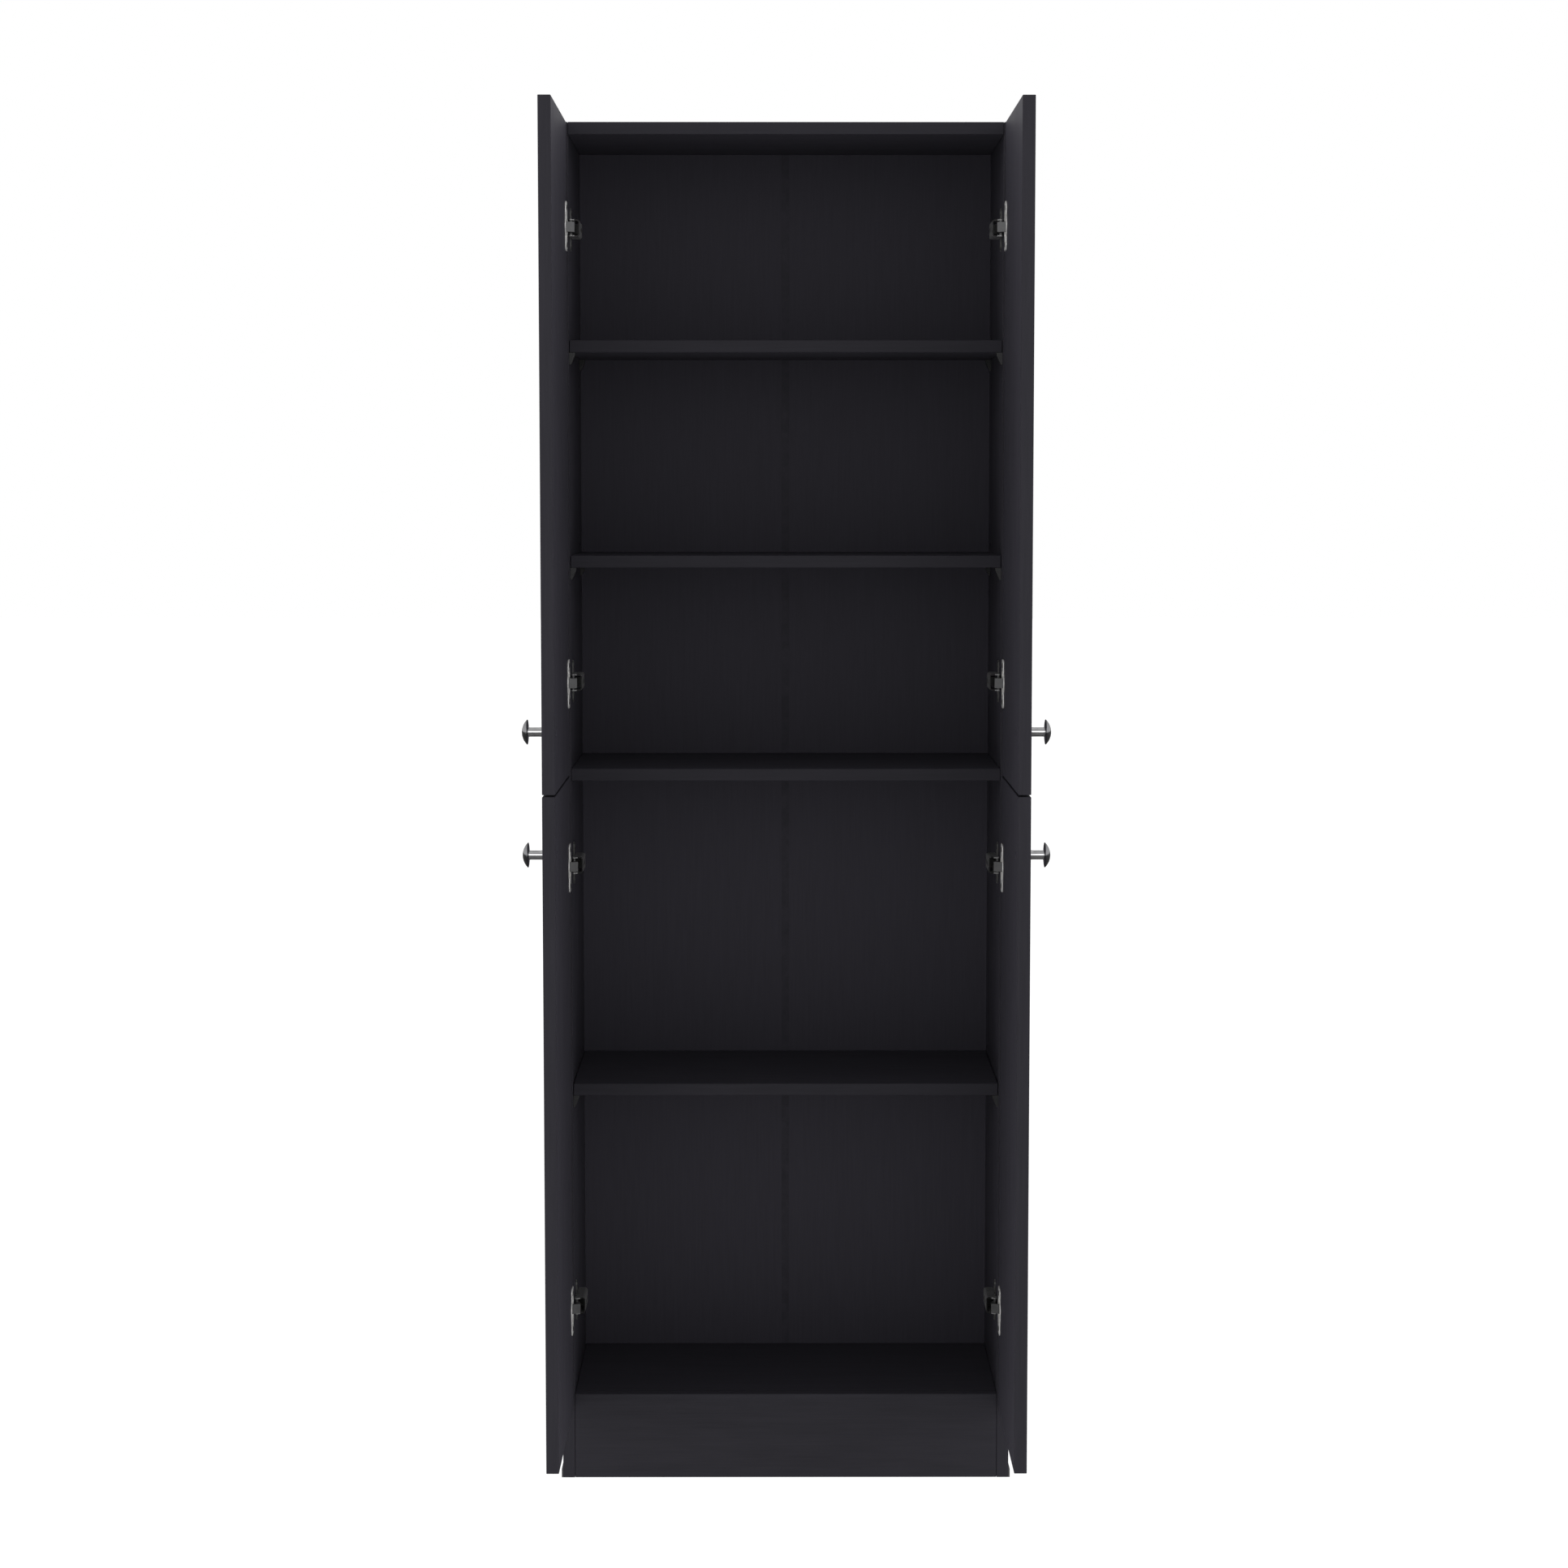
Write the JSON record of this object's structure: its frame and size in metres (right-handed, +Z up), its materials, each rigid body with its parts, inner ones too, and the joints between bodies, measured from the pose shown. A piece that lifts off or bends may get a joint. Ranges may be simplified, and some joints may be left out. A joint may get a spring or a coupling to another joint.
{
  "type": "pantry cabinet",
  "caption": "Tall free-standing pantry cabinet with upper and lower pairs of hinged doors, mushroom knobs, adjustable shelves and concealed cup hinges.",
  "frame": {"origin": "on the floor under the centre of the bounding box, with the doors open at a right angle", "axes": "+X to the right as seen from the front, +Y from front to back, +Z up"},
  "size_m": [0.6566, 0.5864, 1.804],
  "materials": {
    "melamine": "matte charcoal melamine on particle board, faint grain",
    "back_board": "matte charcoal laminate on thin fibre board",
    "black_profile": "extruded charcoal plastic",
    "black_plastic": "moulded black plastic",
    "glide_plastic": "moulded grey plastic",
    "hinge_steel": "nickel-plated pressed steel",
    "knob_metal": "dark polished head on a bright stem"
  },
  "bodies": {
    "carcass": {"side_panel_left": "melamine", "side_panel_right": "melamine", "top_panel": "melamine", "middle_panel": "melamine", "bottom_panel": "melamine", "kick_board": "melamine", "back_panel_left": "back_board", "back_panel_right": "back_board", "back_joining_strip": "black_profile", "shelf_support_upper_left_front": "black_plastic", "shelf_support_upper_left_rear": "black_plastic", "shelf_support_upper_right_front": "black_plastic", "shelf_support_upper_right_rear": "black_plastic", "shelf_support_centre_left_front": "black_plastic", "shelf_support_centre_left_rear": "black_plastic", "shelf_support_centre_right_front": "black_plastic", "shelf_support_centre_right_rear": "black_plastic", "shelf_support_lower_left_front": "black_plastic", "shelf_support_lower_left_rear": "black_plastic", "shelf_support_lower_right_front": "black_plastic", "shelf_support_lower_right_rear": "black_plastic", "foot_glide_left_front": "glide_plastic", "foot_glide_left_rear": "glide_plastic", "foot_glide_right_front": "glide_plastic", "foot_glide_right_rear": "glide_plastic", "hinge_arm_upper_left_top": "hinge_steel", "hinge_arm_upper_left_bottom": "hinge_steel", "hinge_arm_upper_right_top": "hinge_steel", "hinge_arm_upper_right_bottom": "hinge_steel", "hinge_arm_lower_left_top": "hinge_steel", "hinge_arm_lower_left_bottom": "hinge_steel", "hinge_arm_lower_right_top": "hinge_steel", "hinge_arm_lower_right_bottom": "hinge_steel"},
    "upper_left_door": {"door_upper_left": "melamine", "knob_upper_left": "knob_metal", "hinge_cup_upper_left_top": "hinge_steel", "hinge_cup_upper_left_bottom": "hinge_steel"},
    "upper_right_door": {"door_upper_right": "melamine", "knob_upper_right": "knob_metal", "hinge_cup_upper_right_top": "hinge_steel", "hinge_cup_upper_right_bottom": "hinge_steel"},
    "lower_left_door": {"door_lower_left": "melamine", "knob_lower_left": "knob_metal", "hinge_cup_lower_left_top": "hinge_steel", "hinge_cup_lower_left_bottom": "hinge_steel"},
    "lower_right_door": {"door_lower_right": "melamine", "knob_lower_right": "knob_metal", "hinge_cup_lower_right_top": "hinge_steel", "hinge_cup_lower_right_bottom": "hinge_steel"},
    "upper_left_links": {"hinge_link_upper_left_top": "hinge_steel", "hinge_link_upper_left_bottom": "hinge_steel"},
    "upper_right_links": {"hinge_link_upper_right_top": "hinge_steel", "hinge_link_upper_right_bottom": "hinge_steel"},
    "lower_left_links": {"hinge_link_lower_left_top": "hinge_steel", "hinge_link_lower_left_bottom": "hinge_steel"},
    "lower_right_links": {"hinge_link_lower_right_top": "hinge_steel", "hinge_link_lower_right_bottom": "hinge_steel"},
    "upper_shelf": {"shelf_upper": "melamine"},
    "centre_shelf": {"shelf_centre": "melamine"},
    "lower_shelf": {"shelf_lower": "melamine"}
  },
  "joints": [
    {"name": "upper_left_door_swing", "type": "hinge", "parent": "carcass", "child": "upper_left_door", "pos_m": [-0.2932, -0.001, 1.378], "axis": [0, 0, -1], "range_deg": [-90, 10]},
    {"name": "upper_right_door_swing", "type": "hinge", "parent": "carcass", "child": "upper_right_door", "pos_m": [0.2932, -0.001, 1.378], "axis": [0, 0, 1], "range_deg": [-90, 10]},
    {"name": "lower_left_door_swing", "type": "hinge", "parent": "carcass", "child": "lower_left_door", "pos_m": [-0.2932, -0.001, 0.524], "axis": [0, 0, -1], "range_deg": [-90, 10]},
    {"name": "lower_right_door_swing", "type": "hinge", "parent": "carcass", "child": "lower_right_door", "pos_m": [0.2932, -0.001, 0.524], "axis": [0, 0, 1], "range_deg": [-90, 10]},
    {"name": "upper_left_links_swing", "type": "hinge", "parent": "carcass", "child": "upper_left_links", "pos_m": [-0.2809, 0.0118, 1.371], "axis": [0, 0, -1], "range_deg": [-64, 7.2]},
    {"name": "upper_right_links_swing", "type": "hinge", "parent": "carcass", "child": "upper_right_links", "pos_m": [0.2809, 0.0118, 1.371], "axis": [0, 0, 1], "range_deg": [-64, 7.2]},
    {"name": "lower_left_links_swing", "type": "hinge", "parent": "carcass", "child": "lower_left_links", "pos_m": [-0.2809, 0.0118, 0.5335], "axis": [0, 0, -1], "range_deg": [-64, 7.2]},
    {"name": "lower_right_links_swing", "type": "hinge", "parent": "carcass", "child": "lower_right_links", "pos_m": [0.2809, 0.0118, 0.5335], "axis": [0, 0, 1], "range_deg": [-64, 7.2]},
    {"name": "upper_shelf_lift", "type": "slide", "parent": "carcass", "child": "upper_shelf", "axis": [0, 0, 1], "range_m": [0, 0.02]},
    {"name": "centre_shelf_lift", "type": "slide", "parent": "carcass", "child": "centre_shelf", "axis": [0, 0, 1], "range_m": [0, 0.02]},
    {"name": "lower_shelf_lift", "type": "slide", "parent": "carcass", "child": "lower_shelf", "axis": [0, 0, 1], "range_m": [0, 0.02]}
  ],
  "couplings": [
    {"joint": "upper_left_links_swing", "follows": "upper_left_door_swing", "ratio": 0.71},
    {"joint": "upper_right_links_swing", "follows": "upper_right_door_swing", "ratio": 0.71},
    {"joint": "lower_left_links_swing", "follows": "lower_left_door_swing", "ratio": 0.71},
    {"joint": "lower_right_links_swing", "follows": "lower_right_door_swing", "ratio": 0.71}
  ]
}
